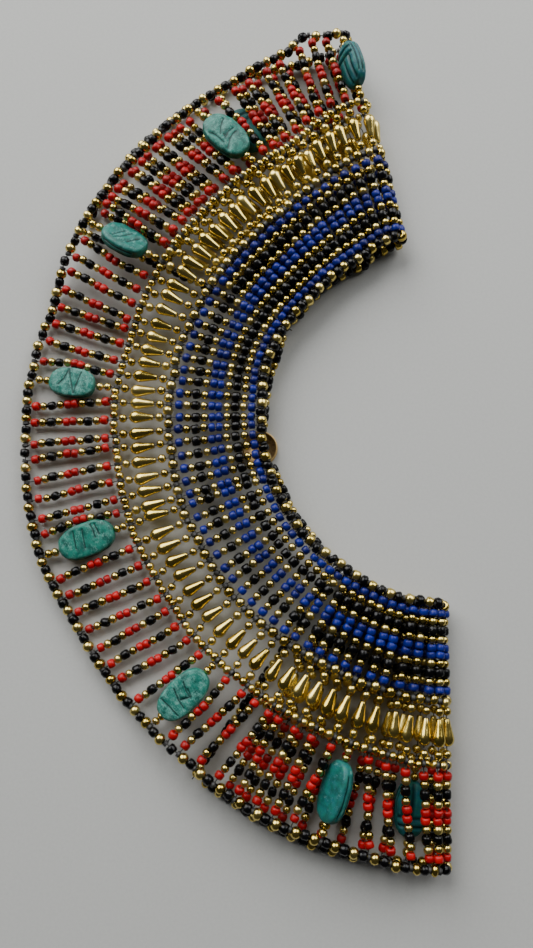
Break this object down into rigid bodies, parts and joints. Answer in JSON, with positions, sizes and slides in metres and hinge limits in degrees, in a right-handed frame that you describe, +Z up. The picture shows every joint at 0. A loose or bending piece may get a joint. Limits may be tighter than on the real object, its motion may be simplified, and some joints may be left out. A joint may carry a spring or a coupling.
{
  "type": "beaded broad collar necklace, laid down folded",
  "caption": "Broad bib necklace of radial bead strands, drop beads and scarab beads, folded flat with its clasp beneath the neck edge",
  "frame": {"origin": "below the middle of the folded necklace's box, on the surface that it lies on", "axes": "+Z up from the surface, +Y along the folded necklace's length from one fold to the other, +X from the rim towards the neck space"},
  "size_m": [0.1614, 0.3226, 0.0172],
  "materials": {
    "gold_bead": "metallised gold, bright",
    "red_bead": "opaque glass, glossy",
    "blue_bead": "opaque glass, satin",
    "black_bead": "opaque glass, glossy",
    "faience": "matt glaze, worn pale",
    "clasp_brass": "aged brass"
  },
  "bodies": {
    "root": {"rim_string": "gold_bead", "outer_net": "red_bead", "teardrop_row": "gold_bead", "inner_net": "blue_bead", "neck_string": "gold_bead", "end_string_top": "black_bead", "end_string_bottom": "black_bead", "neck_cord_top": "black_bead", "neck_cord_bottom": "black_bead", "clasp": "clasp_brass", "scarab_1": "faience", "scarab_2": "faience", "scarab_3": "faience", "scarab_4": "faience", "scarab_5": "faience", "scarab_6": "faience", "scarab_7": "faience", "scarab_8": "faience", "scarab_9": "faience"}
  },
  "joints": []
}
